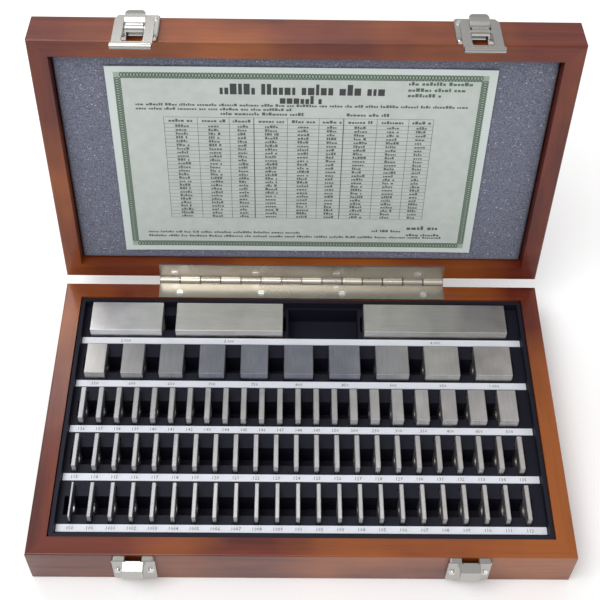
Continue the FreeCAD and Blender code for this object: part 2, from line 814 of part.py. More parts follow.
def latch_loop(side, x):
    """The loop that drops over the hook: a framed window, two flanges and a rolled free end."""
    name = f"latch_loop_{side}"
    thing = body(name)
    front = "loop_rise + loop_sheet"
    plate = [
        ("loop_rise", "loop_bottom"),
        (front, "loop_bottom"),
        (front, "loop_top"),
        ("loop_rise", "loop_top"),
    ]
    blank = section(thing, f"{name}_frame_section", plate)
    feature(thing, "Pad", f"{name}_frame", blank, "loop_width")
    fillet(thing, f"{name}_corners", "3", corner_test("loop_width / 2", "loop_top"))
    roll_centre = ("loop_rise + roll_radius", "loop_bottom")
    roll = ring(thing, f"{name}_roll_section", *roll_centre, "roll_radius", "roll_radius - 1")
    feature(thing, "Pad", f"{name}_roll", roll, "loop_width")
    window = sketch(thing, f"{name}_window_section", "XZ")
    half = "window_width / 2"
    low, high = "window_bottom", "window_top"
    polygon(window, [(f"-{half}", low), (half, low), (half, high), (f"-{half}", high)])
    feature(thing, "Pocket", f"{name}_window", window, "60")
    corners = corner_test(half, low, high)
    fillet(thing, f"{name}_window_corners", "1.5", corners)
    pin = ("loop_pin_rise", "loop_pin_lift")
    flange = [
        ("loop_rise + 0.6", "-10"),
        ("loop_rise + 0.6", "loop_top - 0.1"),
        (pin[0], f"{pin[1]} + 1.9"),
        (f"{pin[0]} - 1.4", f"{pin[1]} - 1.3"),
        ("8.4", "-6"),
    ]
    for hand, start in (("a", half), ("b", f"-{half} - 1")):
        web = section(thing, f"{name}_flange_{hand}_section", flange)
        feature(thing, "Pad", f"{name}_flange_{hand}", web, "1", offset=start)
        eye = ring(thing, f"{name}_eye_{hand}_section", *pin, "1.9")
        feature(thing, "Pad", f"{name}_eye_{hand}", eye, "1", offset=start)
    bore = ring(thing, f"{name}_bore_section", *pin, "latch_pin + pin_play")
    feature(thing, "Pocket", f"{name}_bore", bore, "latch_width")
    on_lid(thing, x)
    node(thing, name)


def catch_plate(side, x):
    """The base's half of a latch: a cupped plate with a boxed hook for the loop."""
    name = f"catch_plate_{side}"
    thing = body(name)
    cupped_plate(thing, name, "catch_rise", "catch_bottom", "catch_top")
    notch(thing, f"{name}_notch", "catch_rise", "catch_top - 1.6", "catch_top + 0.5")
    screw_holes(thing, f"{name}_holes", "catch_screw_lift")
    root = "catch_rise - latch_sheet / 2"
    strap = [
        (root, "catch_top - 1"),
        ("hook_rise", "catch_top - 2.2"),
        ("hook_rise", "hook_lip"),
        ("hook_rise - 1", "hook_lip"),
        ("hook_rise - 1", "catch_top - 3.1"),
        (root, "catch_top - 2.1"),
    ]
    hook = section(thing, f"{name}_hook_section", strap)
    feature(thing, "Pad", f"{name}_hook", hook, "hook_width")
    gusset = [
        (root, "catch_top - 1"),
        ("hook_rise", "catch_top - 2.2"),
        ("hook_rise", "hook_lip + 4.6"),
        ("hook_rise - 1", "hook_lip + 3.6"),
        (root, "hook_lip + 6.4"),
    ]
    for hand, start in (("a", "hook_width / 2 - 1"), ("b", "-hook_width / 2")):
        web = section(thing, f"{name}_gusset_{hand}_section", gusset)
        feature(thing, "Pad", f"{name}_gusset_{hand}", web, "1", offset=start)
    on_base(thing, x)
    node(thing, name)


def pan_screws(name, rise, lift):
    """Two raised slotted screws through a plate into the wood."""
    screws = []
    for hand, x in (("a", "-latch_screw_spread"), ("b", "latch_screw_spread")):
        head = doc.addObject("Part::Cone", f"{name}_{hand}_head")
        bind(head, Radius1="latch_screw_head", Radius2="latch_screw_head - 0.8", Height="latch_screw_dome")
        place(head, x, f"-{rise}", lift)
        head.Placement.Rotation = FreeCAD.Rotation(FreeCAD.Vector(1, 0, 0), 90)
        reach = f"{rise} + latch_screw_depth"
        spot = (x, f"-{rise}", lift)
        shank = rod(f"{name}_{hand}_shank", "latch_screw_shank", reach, *spot, along="Y")
        whole = doc.addObject("Part::Fuse", f"{name}_{hand}_blank")
        whole.Base = head
        whole.Tool = shank
        groove = (f"{x} - 0.35", f"-{rise} - latch_screw_dome - 0.5", f"{lift} - 3")
        slot_cut = brick(f"{name}_{hand}_slot", "0.7", "1.2", "6", *groove)
        screws.append(cut(f"{name}_{hand}", whole, slot_cut))
    return group(name, screws)


def latches():
    for side, x in (("left", "-latch_spread"), ("right", "latch_spread")):
        latch_plate(side, x)
        latch_lever(side, x)
        latch_loop(side, x)
        catch_plate(side, x)
        lid_screws = pan_screws(f"latch_screws_{side}", "plate_rise", "plate_screw_lift")
        on_lid(lid_screws, x)
        node(lid_screws, f"latch_screws_{side}")
        base_screws = pan_screws(f"catch_screws_{side}", "catch_rise", "catch_screw_lift")
        on_base(base_screws, x)
        node(base_screws, f"catch_screws_{side}")
        for pin, reach in (("lever", "lever_width / 2 + 1.15"), ("loop", "window_width / 2 + 1.2")):
            spot = (f"-({reach})", f"-{pin}_pin_rise", f"{pin}_pin_lift")
            shaft = rod(f"{pin}_rivet_{side}", "latch_pin", f"2 * ({reach})", *spot, along="X")
            rivet = group(f"{pin}_pin_{side}", [shaft])
            on_lid(rivet, x)
            node(rivet, f"{pin}_pin_{side}")


def check_and_write():
    doc.recompute()
    for thing in doc.Objects:
        assert not {"Invalid", "Error"} & set(thing.State), f"{thing.Name}: {thing.State}"
    os.makedirs("parts", exist_ok=True)
    for thing in NODES:
        assert not thing.Shape.isNull() and thing.Shape.isValid(), f"{thing.Label}: bad shape"
        thing.Shape.exportStep(f"parts/{thing.Label}.step")
    print(len(NODES), "nodes,", sum(len(thing.Shape.Solids) for thing in NODES), "solids")


base_frame()
lid_frame()
hinge()
gauge_blocks()
block_tray()
label_strips()
lid_lining()
latches()
check_and_write()
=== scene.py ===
# %% [markdown]
# # A boxed set of gauge blocks
# The set is a lacquered wooden case. Its lid stands open on a long plated hinge and shows a foam
# lining with a certificate on it. The base holds square steel blocks in a black moulded tray,
# with a printed strip in front of every row. The solids come from the CAD model and are only
# dressed here, except where print, foam or a block's fine edges need a surface of their own.

import json
import math

import bpy
import numpy as np
from mathutils import Matrix, Vector


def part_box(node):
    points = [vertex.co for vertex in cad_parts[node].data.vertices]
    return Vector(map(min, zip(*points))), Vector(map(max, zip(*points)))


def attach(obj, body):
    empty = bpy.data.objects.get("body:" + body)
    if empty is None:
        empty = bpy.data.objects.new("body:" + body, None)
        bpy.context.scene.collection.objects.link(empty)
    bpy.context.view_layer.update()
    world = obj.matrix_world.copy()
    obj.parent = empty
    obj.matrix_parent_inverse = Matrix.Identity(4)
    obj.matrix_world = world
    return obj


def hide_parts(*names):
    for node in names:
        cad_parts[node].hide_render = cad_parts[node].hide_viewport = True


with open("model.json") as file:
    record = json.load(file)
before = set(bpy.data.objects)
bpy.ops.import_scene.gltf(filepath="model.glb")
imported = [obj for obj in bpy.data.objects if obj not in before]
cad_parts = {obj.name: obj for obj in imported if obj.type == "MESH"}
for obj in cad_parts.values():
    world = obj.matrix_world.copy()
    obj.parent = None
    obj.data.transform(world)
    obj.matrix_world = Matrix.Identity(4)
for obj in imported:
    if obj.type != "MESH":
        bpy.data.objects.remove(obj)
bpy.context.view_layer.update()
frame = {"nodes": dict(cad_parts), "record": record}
nodes = frame["nodes"]
MM = 0.001
print(len(nodes), "CAD nodes")

# %% [markdown]
# ## Measuring the case
# Everything printed or padded takes its place from the boxes of the CAD nodes, so it still fits
# if the case changes. The lid's pieces are easier to draw in the lid's own plane: `lid_point`
# turns distances along the lid, up from the hinge, and out from the lining into frame points.

# %% Places read from the frame
LID_JOINT = next(j for j in frame["record"]["behaviour"]["joints"] if j["name"] == "lid_hinge")
PIN = np.array(LID_JOINT["pos_m"])
OPEN_ANGLE = math.radians(LID_JOINT["range_deg"][1])


def lid_point(x, from_hinge, depth):
    """Frame coordinates of a point given in the lid's own plane.

    x runs along the lid, from_hinge runs from the pin towards the lid's free edge, and depth
    runs from the rim into the lid. The lid is shut at angle zero, when from_hinge is -Y and
    depth is +Z, and the plane turns with the lid by the opening angle.
    """
    x, out, depth = np.broadcast_arrays(x, -np.asarray(from_hinge), depth)
    cos, sin = math.cos(OPEN_ANGLE), math.sin(OPEN_ANGLE)
    y = PIN[1] + out * cos + depth * sin
    z = PIN[2] - out * sin + depth * cos
    return np.stack([x, y, z], axis=-1)


def in_lid(name):
    """Lowest and highest (x, from_hinge, depth) of a CAD node's vertices in the lid's plane."""
    mesh = nodes[name].data
    points = np.empty(len(mesh.vertices) * 3)
    mesh.vertices.foreach_get("co", points)
    points = points.reshape(-1, 3)
    cos, sin = math.cos(OPEN_ANGLE), math.sin(OPEN_ANGLE)
    y, z = points[:, 1] - PIN[1], points[:, 2] - PIN[2]
    flat = np.stack([points[:, 0], -(y * cos - z * sin), y * sin + z * cos], axis=-1)
    return flat.min(axis=0), flat.max(axis=0)


print("lid opened by", round(math.degrees(OPEN_ANGLE)), "degrees")

# %% [markdown]
# ## A small kit for materials
# Every finish is a Principled shader. A few helpers keep the node trees short: `Finish` starts a
# material, adds noise read from Object coordinates, and turns noise into colours or bumps.
# Object coordinates are in metres in the frame, so a pattern keeps its real size on every piece.

# %% Material helpers


class Finish:
    """A Principled material with helpers for noise, colour ramps, mixes and bumps."""

    def __init__(self, name, colour, roughness, metallic=0.0, **sockets):
        self.material = bpy.data.materials.new(name)
        self.material.use_nodes = True
        self.tree = self.material.node_tree
        self.shader = self.tree.nodes["Principled BSDF"]
        self.shader.inputs["Base Color"].default_value = (*colour, 1.0)
        self.shader.inputs["Roughness"].default_value = roughness
        self.shader.inputs["Metallic"].default_value = metallic
        for socket, value in sockets.items():
            self.shader.inputs[socket.replace("_", " ")].default_value = value
        self.place = self.add("ShaderNodeTexCoord").outputs["Object"]

    def add(self, kind, **settings):
        node = self.tree.nodes.new(kind)
        for key, value in settings.items():
            setattr(node, key, value)
        return node

    def link(self, source, target):
        self.tree.links.new(source, target)

    def stretched(self, scale):
        """Object coordinates scaled differently along each axis, so that noise follows a grain."""
        mapping = self.add("ShaderNodeMapping")
        mapping.inputs["Scale"].default_value = scale
        self.link(self.place, mapping.inputs["Vector"])
        return mapping.outputs["Vector"]

    def noise(self, scale, detail=4.0, roughness=0.55, vector=None, distortion=0.0):
        node = self.add("ShaderNodeTexNoise")
        node.inputs["Scale"].default_value = scale
        node.inputs["Detail"].default_value = detail
        node.inputs["Roughness"].default_value = roughness
        node.inputs["Distortion"].default_value = distortion
        self.link(vector or self.place, node.inputs["Vector"])
        return node.outputs["Fac"]

    def ramp(self, value, *stops):
        """Colours or greys between positions; each stop is (position, colour or grey)."""
        node = self.add("ShaderNodeValToRGB")
        ramp = node.color_ramp
        while len(ramp.elements) < len(stops):
            ramp.elements.new(1.0)
        for element, (position, colour) in zip(ramp.elements, stops):
            element.position = position
            channels = colour if isinstance(colour, tuple) else (colour,) * 3
            element.color = (*channels, 1.0)
        self.link(value, node.inputs["Fac"])
        return node.outputs["Color"]

    def mix(self, share, first, second, blend="MIX"):
        node = self.add("ShaderNodeMix", data_type="RGBA", blend_type=blend)
        for socket, value in zip(("Factor", "A", "B"), (share, first, second)):
            self.fill(node.inputs[socket], value)
        return node.outputs["Result"]

    def fill(self, socket, value):
        """Link a socket to another one, or set its colour or number."""
        if isinstance(value, bpy.types.NodeSocket):
            self.link(value, socket)
        elif isinstance(value, tuple):
            socket.default_value = (*value, 1.0)
        else:
            socket.default_value = value

    def range(self, value, low, high, to_low=0.0, to_high=1.0):
        node = self.add("ShaderNodeMapRange")
        sockets = ("From Min", "From Max", "To Min", "To Max")
        for socket, number in zip(sockets, (low, high, to_low, to_high)):
            node.inputs[socket].default_value = number
        self.link(value, node.inputs["Value"])
        return node.outputs["Result"]

    def maths(self, kind, operation, first, second):
        """One Math or Vector Math node on two values, each a socket, a number or a vector."""
        node = self.add(kind, operation=operation)
        for slot, value in enumerate((first, second)):
            if isinstance(value, bpy.types.NodeSocket):
                self.link(value, node.inputs[slot])
            else:
                node.inputs[slot].default_value = value
        return node.outputs[0] if node.outputs[0].enabled else node.outputs[1]

    def axis(self, letter):
        node = self.add("ShaderNodeSeparateXYZ")
        self.link(self.place, node.inputs["Vector"])
        return node.outputs[letter]

    def colour(self, value):
        self.link(value, self.shader.inputs["Base Color"])

    def rough(self, value):
        self.link(value, self.shader.inputs["Roughness"])

    def bump(self, height, strength, distance):
        node = self.add("ShaderNodeBump")
        node.inputs["Strength"].default_value = strength
        node.inputs["Distance"].default_value = distance
        self.link(height, node.inputs["Height"])
        self.link(node.outputs["Normal"], self.shader.inputs["Normal"])

    def dress(self, *objects):
        """Give pieces this finish in place of whatever they had."""
        for piece in objects:
            piece.data.materials.clear()
            piece.data.materials.append(self.material)


# %% [markdown]
# ## Lacquered wood
# The case is stained a deep red-brown under gloss lacquer. The grain runs along each board, and
# the stain is uneven: orange where it was rubbed thin, nearly black where it pooled. Three noises
# make that: two stretched along the board for its fibres and pores, and a wide one for the stain. A
# clear coat on the shader gives the lacquer's own sharp reflection over the softer wood.

# %% Wood finishes, one for each direction of grain


def lacquered_wood(name, grain):
    """Stained wood whose grain runs along X, Y or Z of the frame."""
    lacquer = {"Coat_Weight": 0.45, "Coat_Roughness": 0.14, "Specular_IOR_Level": 0.25}
    wood = Finish(name, (0.14, 0.035, 0.012), 0.42, **lacquer)
    along, across = 5.0, 90.0
    scale = tuple(along if letter == grain else across for letter in "XYZ")
    fibres = wood.noise(1.0, 8.0, 0.62, wood.stretched(scale), 0.5)
    fine = wood.noise(4.0, 4.0, 0.7, wood.stretched(scale))
    stain = wood.noise(9.0, 3.0, 0.5)
    dark, mid, warm = (0.050, 0.007, 0.004), (0.125, 0.018, 0.007), (0.330, 0.090, 0.012)
    streaks = wood.ramp(fibres, (0.28, dark), (0.55, mid), (0.85, (0.18, 0.032, 0.010)))
    patches = wood.ramp(stain, (0.42, 0.0), (0.68, 0.8))
    body = wood.mix(patches, streaks, warm)
    pores = wood.ramp(fine, (0.30, 0.72), (0.52, 1.0))
    wood.colour(wood.mix(0.6, body, pores, "MULTIPLY"))
    wood.rough(wood.range(fine, 0.3, 0.7, 0.46, 0.36))
    wood.bump(fine, 0.12, 0.0002)
    return wood


long_boards = [n for n in nodes if n.endswith(("front_board", "back_board"))]
grains = {
    "X": [*long_boards, "lid_top_panel", "base_bottom_panel"],
    "Y": ["base_left_board", "base_right_board"],
    "Z": ["lid_left_board", "lid_right_board"],
}
for grain, names in grains.items():
    lacquered_wood(f"lacquered wood, grain along {grain}", grain).dress(*[nodes[n] for n in names])
print("wood on", sum(len(names) for names in grains.values()), "boards")

# %% [markdown]
# ## Black tray
# The tray is one black moulding with a fine matt texture. It is not pure black: its raised faces
# catch the light as a dull blue-grey, so the plastic needs some gloss and a very fine bump.

# %% Tray finish
tray_plastic = Finish("black moulded plastic", (0.009, 0.009, 0.018), 0.55, Specular_IOR_Level=0.2)
grit = tray_plastic.noise(2600.0, 2.0)
tray_plastic.bump(grit, 0.25, 0.00008)
smears = tray_plastic.noise(22.0, 3.0)
tray_plastic.rough(tray_plastic.range(smears, 0.3, 0.7, 0.50, 0.64))
tray_plastic.dress(nodes["block_tray"])

# %% [markdown]
# ## Nickel plate
# Hinge, latches and screws are thin steel sheet with a yellowish nickel plate. It is metal, so
# its colour is the colour of its reflections; faint smudges on the hinge break them up, and the
# barrel is painted near black at the joints between its knuckles as painted shade. The lid's
# leaf is painted paler than the base leaf, as painted light for how the light falls on each. The
# pressed latches are a plainer grey than the hinge, and the screw heads are brightest.

# %% Plated metal finish
KNUCKLES = 14
KNUCKLE_RADIUS = 3.0 * MM
JOINT_SHADE_SPAN = (0.25 * MM, 0.75 * MM)
BARREL_EDGE = (KNUCKLE_RADIUS + 0.1 * MM, KNUCKLE_RADIUS + 0.3 * MM)


def leaf_plate(name, dull, bright):
    """Satin nickel for a hinge leaf, with painted shade in the joints between the knuckles.

    The joints lie one knuckle apart along the leaf, so a ping-pong of X gives the distance to
    the nearest one. The painted shade lies only on the rolled barrel around the pin, not on the
    flat of the leaf.
    """
    plate = Finish(name, bright, 0.27, 1.0)
    smudges = plate.noise(30.0, 3.0, 0.5)
    plate_tone = plate.ramp(smudges, (0.3, dull), (0.7, bright))
    low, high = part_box("hinge_base_leaf")
    half_knuckle = (high[0] - low[0]) / KNUCKLES / 2
    from_end = plate.maths("ShaderNodeMath", "SUBTRACT", plate.axis("X"), low[0])
    to_joint = plate.maths("ShaderNodeMath", "PINGPONG", from_end, half_knuckle)
    joint = plate.range(to_joint, *JOINT_SHADE_SPAN, 0.85, 0.0)
    section = plate.maths("ShaderNodeVectorMath", "MULTIPLY", plate.place, (0.0, 1.0, 1.0))
    from_pin = plate.maths("ShaderNodeVectorMath", "DISTANCE", section, (0.0, PIN[1], PIN[2]))
    barrel = plate.range(from_pin, *BARREL_EDGE, 1.0, 0.0)
    # Painted shade: the barrel is painted near black close to each knuckle joint.
    joint_shade = plate.maths("ShaderNodeMath", "MULTIPLY", joint, barrel)
    plate.colour(plate.mix(joint_shade, plate_tone, (0.05, 0.045, 0.04)))
    plate.rough(plate.range(smudges, 0.3, 0.7, 0.25, 0.31))
    return plate


# Painted light: both leaves are one nickel plate; the lid's leaf is painted paler and the base leaf
# darker, for how the light falls on each.
shaded_base_plate = leaf_plate("satin nickel plate, base leaf", (0.42, 0.392, 0.345), (0.48, 0.450, 0.40))
lit_lid_plate = leaf_plate("satin nickel plate, lid leaf", (0.55, 0.515, 0.45), (0.63, 0.595, 0.53))
bright_nickel = Finish("bright nickel plate", (0.80, 0.79, 0.77), 0.2, 1.0)
latch_nickel = Finish("latch nickel plate", (0.46, 0.45, 0.43), 0.24, 1.0)
fittings = ("hinge_", "latch_", "catch_", "lever_pin", "loop_pin")
plated = [n for n in nodes if n.startswith(fittings)]
bright = [n for n in plated if "screws" in n or "pin" in n]
shaded_base_plate.dress(nodes["hinge_base_leaf"])
lit_lid_plate.dress(nodes["hinge_lid_leaf"])
latch_nickel.dress(*[nodes[n] for n in plated if n not in bright and not n.endswith("_leaf")])
bright_nickel.dress(*[nodes[n] for n in bright])
print(len(plated), "plated fittings")

# %% [markdown]
# ## Gauge blocks
# A gauge block is a square bar with a hole down its length. Its two ends are lapped like mirrors
# and its four sides are ground, which leaves a soft grey with faint scratches. The edges are
# broken by a tiny bevel, and that thin bright line is what makes ground steel look real. The CAD
# blocks have sharp edges, so each is replaced by a mesh whose bevels are worked out here. Ends and
# sides share one finish, because little of an end shows between its neighbours.

# %% Block surface


def bevelled_block(low, high, bevel, hole, sides=32):
    """Vertices and faces of a square block with bevelled edges and a hole along X.

    One profile is carried along X. The outline in the Y-Z plane is a square cut across its
    corners: each of its points goes out from the centre to where the larger of |y| and |z|
    equals the half side, and no further than the line |y| + |z| = 2 half - bevel. The section
    grows by the bevel over the first bevel of X and shrinks again over the last, and the hole
    is the circle of the same angles with a countersink of one bevel at each end.
    """
    centre = (low + high) / 2
    half = (high[1] - low[1]) / 2
    corners = np.arctan2(half - bevel, half)
    edge = np.array([-corners, corners])
    edges = [edge + quarter * np.pi / 2 for quarter in range(4)]
    even = np.linspace(0, 2 * np.pi, sides, endpoint=False)
    angles = np.unique(np.round(np.mod(np.concatenate([*edges, even]), 2 * np.pi), 6))
    cos, sin = np.cos(angles), np.sin(angles)

    def square(reach, cut):
        """Distance from the centre to the cut square in each direction."""
        flat = reach / np.maximum(np.abs(cos), np.abs(sin))
        corner = (2 * reach - cut) / (np.abs(cos) + np.abs(sin))
        return np.minimum(flat, corner)

    small = square(half - bevel, bevel * 0.6)
    full = square(half, bevel)
    wide, narrow = np.full_like(angles, hole + bevel), np.full_like(angles, hole)
    x0, x1 = low[0], high[0]
    rings = [
        (x0, small),
        (x0 + bevel, full),
        (x1 - bevel, full),
        (x1, small),
        (x1, wide),
        (x1 - bevel, narrow),
        (x0 + bevel, narrow),
        (x0, wide),
    ]
    x = np.array([ring[0] for ring in rings])[:, None] + np.zeros(len(angles))
    radius = np.array([ring[1] for ring in rings])
    points = np.stack([x, centre[1] + radius * cos, centre[2] + radius * sin], axis=-1)
    return points.reshape(-1, 3), closed_grid(len(rings), len(angles))


def closed_grid(rows, columns):
    """Quads of a grid that closes on itself both ways, with its faces turned outwards."""
    row, column = np.meshgrid(np.arange(rows), np.arange(columns), indexing="ij")
    here, below = row * columns, (row + 1) % rows * columns
    right = (column + 1) % columns
    quads = [here + column, here + right, below + right, below + column]
    return np.stack(quads, axis=-1).reshape(-1, 4)[:, ::-1]


def open_grid(columns, rows):
    """Quads of a sheet of columns by rows points, numbered along the rows first."""
    index = np.arange(columns * rows).reshape(columns, rows)
    quads = [index[:-1, :-1], index[1:, :-1], index[1:, 1:], index[:-1, 1:]]
    return np.stack(quads, axis=-1).reshape(-1, 4)


def new_mesh(name, points, faces, smooth=False):
    """Put arrays of vertices and faces into a new object."""
    mesh = bpy.data.meshes.new(name)
    mesh.from_pydata(np.asarray(points).tolist(), [], np.asarray(faces).tolist())
    mesh.polygons.foreach_set("use_smooth", [smooth] * len(mesh.polygons))
    mesh.update()
    piece = bpy.data.objects.new(name, mesh)
    bpy.context.scene.collection.objects.link(piece)
    return piece


def joined(parts):
    """Several (points, faces) as one, the later faces counted on from the earlier points."""
    starts = np.cumsum([0] + [len(points) for points, _ in parts[:-1]])
    points = np.concatenate([points for points, _ in parts])
    faces = np.concatenate([np.asarray(faces) + start for (_, faces), start in zip(parts, starts)])
    return points, faces


# %% [markdown]
# ## Ground steel
# The sides of a block are ground, then handled for years. Fine streaks run across the short
# blocks and along the long ones, and cloudy marks change how sharply it reflects. The colour
# of the steel also carries painted reflections by place along X: wide blocks are painted
# blue-grey in the middle of their row and paler at its ends, and thin and long blocks have
# painted reflection tones of their own.

# %% Steel finish
# Painted reflections: along X the steel's colour changes from its left tones to its middle tones to
# its right tones.
REFLECTION_LEFT_TO_MIDDLE = (-135 * MM, -60 * MM)
REFLECTION_MIDDLE_TO_RIGHT = (30 * MM, 95 * MM)


def steel_with_painted_reflections(name, streak_scale, left, middle, right):
    """Steel streaked along its smallest scale, with a pair of painted reflection tones for each
    part of a row.
    """
    steel = Finish(name, (0.5, 0.5, 0.49), 0.42, 1.0)
    lines = steel.noise(1.0, 6.0, 0.65, steel.stretched(streak_scale))
    clouds = steel.noise(60.0, 4.0, 0.6)
    reflection_pairs = (left, middle, right)
    reflection_tones = [steel.ramp(lines, (0.3, dull), (0.7, bright)) for dull, bright in reflection_pairs]
    # Painted reflections: the tones blend along X from the left pair to the middle pair to the
    # right pair.
    x = steel.axis("X")
    reflection_to_middle = steel.range(x, *REFLECTION_LEFT_TO_MIDDLE)
    reflection_to_right = steel.range(x, *REFLECTION_MIDDLE_TO_RIGHT)
    tone_with_painted_light = steel.mix(reflection_to_right, steel.mix(reflection_to_middle, *reflection_tones[:2]), reflection_tones[2])
    steel.colour(steel.mix(0.35, tone_with_painted_light, steel.ramp(clouds, (0.3, 0.75), (0.7, 1.0)), "MULTIPLY"))
    steel.rough(steel.range(clouds, 0.3, 0.7, 0.36, 0.48))
    steel.bump(lines, 0.03, 0.00005)
    return steel


# Each steel gets three pairs of painted reflection tones, for the left, middle and right of a row.
FINE, COARSE = 900.0, 60.0
wide_steel = steel_with_painted_reflections(
    "ground steel, wide blocks",
    (FINE, COARSE, COARSE),
    ((0.49, 0.48, 0.465), (0.57, 0.56, 0.545)),
    ((0.27, 0.275, 0.33), (0.345, 0.35, 0.41)),
    ((0.57, 0.555, 0.53), (0.68, 0.66, 0.63)),
)
thin_steel = steel_with_painted_reflections(
    "ground steel, thin blocks",
    (FINE, COARSE, COARSE),
    ((0.38, 0.385, 0.40), (0.46, 0.465, 0.48)),
    ((0.56, 0.55, 0.56), (0.67, 0.65, 0.66)),
    ((0.58, 0.56, 0.55), (0.69, 0.665, 0.65)),
)
long_steel = steel_with_painted_reflections(
    "ground steel, long blocks",
    (COARSE, FINE, FINE),
    ((0.84, 0.84, 0.84), (0.92, 0.92, 0.92)),
    ((0.66, 0.635, 0.61), (0.76, 0.73, 0.70)),
    ((0.50, 0.49, 0.46), (0.59, 0.575, 0.545)),
)

# %% Solids of each CAD block node
LEAST_GAP = 0.5 * MM


def loose_solids(name):
    """Lowest and highest corners of each block in a node, from left to right.

    The blocks of a row stand apart along X, so the sorted X intervals of the triangles merge
    into one interval per block.
    """
    mesh = nodes[name].data
    points = np.empty(len(mesh.vertices) * 3)
    mesh.vertices.foreach_get("co", points)
    points = points.reshape(-1, 3)
    corners = np.empty(len(mesh.loops), dtype=int)
    mesh.loops.foreach_get("vertex_index", corners)
    spans = points[corners.reshape(-1, 3), 0]
    spans = np.stack([spans.min(axis=1), spans.max(axis=1)], axis=1)
    spans = spans[np.argsort(spans[:, 0])]
    ends = np.maximum.accumulate(spans[:, 1])
    breaks = np.flatnonzero(spans[1:, 0] > ends[:-1] + LEAST_GAP)
    lows = spans[np.concatenate([[0], breaks + 1]), 0]
    highs = ends[np.concatenate([breaks, [len(ends) - 1]])]
    low, high = points.min(axis=0), points.max(axis=0)
    return [(np.array([a, *low[1:]]), np.array([b, *high[1:]])) for a, b in zip(lows, highs)]


BLOCK_HOLE = 3.35 * MM
BLOCK_BEVEL, THIN_BEVEL_SHARE = 0.35 * MM, 0.12
LONG, WIDE = 50 * MM, 13 * MM


def steel_for(width):
    """The finish that suits a block of this width along the row."""
    if width > LONG:
        return long_steel
    return wide_steel if width > WIDE else thin_steel


block_nodes = [n for n in nodes if n.startswith(("block_", "blocks_")) and n != "block_tray"]
row_blocks = {}
for name in block_nodes:
    solids = loose_solids(name)
    parts = []
    for low, high in solids:
        bevel = min(BLOCK_BEVEL, THIN_BEVEL_SHARE * (high[0] - low[0]))
        parts.append(bevelled_block(low, high, bevel, BLOCK_HOLE))
        row_blocks.setdefault(round(low[1] / MM), []).append((low, high))
    piece = new_mesh(f"{name}_ground", *joined(parts))
    steel_for(solids[0][1][0] - solids[0][0][0]).dress(piece)
    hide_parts(name)
    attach(piece, "case")
for blocks in row_blocks.values():
    blocks.sort(key=lambda ends: ends[0][0])
print({front: len(blocks) for front, blocks in sorted(row_blocks.items())}, "blocks by row")

# %% [markdown]
# ## Label strips
# A white printed strip lies in front of each row, with each block's size under it in inches.
# The numbers are Blender text made into a mesh, because text that is a mesh keeps its place when
# it is exported. They are pressed flat onto the strip, a few hundredths of a millimetre proud.

# %% Print helpers
ink = Finish("grey printing ink", (0.10, 0.10, 0.11), 0.6)
card = Finish("white label card", (0.68, 0.70, 0.76), 0.55)
card.dress(*[nodes[n] for n in nodes if n.startswith("label_strip")])
DIGIT_SHARE = 0.7


def lettering(text, height):
    """Vertices (x, y) and faces of a line of text, centred on the origin, of that digit height."""
    curve = bpy.data.curves.new("lettering", "FONT")
    curve.body = text
    curve.size = height / DIGIT_SHARE
    curve.align_x = "CENTER"
    curve.resolution_u = 1
    holder = bpy.data.objects.new("lettering", curve)
    bpy.context.scene.collection.objects.link(holder)
    settled = holder.evaluated_get(bpy.context.evaluated_depsgraph_get())
    mesh = bpy.data.meshes.new_from_object(settled)
    points = np.empty(len(mesh.vertices) * 3)
    mesh.vertices.foreach_get("co", points)
    mesh.calc_loop_triangles()
    faces = np.empty(len(mesh.loop_triangles) * 3, dtype=int)
    mesh.loop_triangles.foreach_get("vertices", faces)
    bpy.data.objects.remove(holder)
    bpy.data.curves.remove(curve)
    bpy.data.meshes.remove(mesh)
    return points.reshape(-1, 3)[:, :2] - [0, height / 2], faces.reshape(-1, 3)


def size_label(inches):
    """A block's printed size: .100, .1001 or 1.000."""
    text = f"{inches:.4f}" if abs(inches * 1000 - round(inches * 1000)) > 0.01 else f"{inches:.3f}"
    return text.lstrip("0")


# %% Numbers on the strips
DIGIT_HEIGHT = 2.3 * MM
INK_RISE = 0.03 * MM
INCH = 25.4 * MM
strips = sorted(n for n in nodes if n.startswith("label_strip"))
blocks_by_row = [row_blocks[front] for front in sorted(row_blocks)]
for strip, blocks in zip(strips, blocks_by_row):
    low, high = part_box(strip)
    middle_y = (low[1] + high[1]) / 2
    parts = []
    for start, end in blocks:
        inches = round((end[0] - start[0]) / INCH, 4)
        flat, faces = lettering(size_label(inches), DIGIT_HEIGHT)
        x = (start[0] + end[0]) / 2 + flat[:, 0]
        z = np.full(len(flat), high[2] + INK_RISE)
        parts.append((np.stack([x, middle_y + flat[:, 1], z], axis=-1), faces))
    numbers = new_mesh(f"{strip}_numbers", *joined(parts))
    ink.dress(numbers)
    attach(numbers, "case")
print("numbers on", len(strips), "strips")

# %% [markdown]
# ## Foam lining
# The lid is lined with a soft pad of open-cell foam, charcoal blue. Its colour carries painted
# shade in the cell hollows, painted highlights on the cell rims, and pale specks painted where
# cells catch the light. It bulges a little and its edges pull in towards the wood. The pad is a
# grid: its face is highest in the middle, rolls over at the rim in a quarter circle, and carries
# a fine random roughness that never repeats.

# %% Foam pad
foam_low, foam_high = in_lid("lid_foam")
FOAM_CROWN, FOAM_EDGE, FOAM_GRAIN = 0.7 * MM, 3.0 * MM, 0.11 * MM


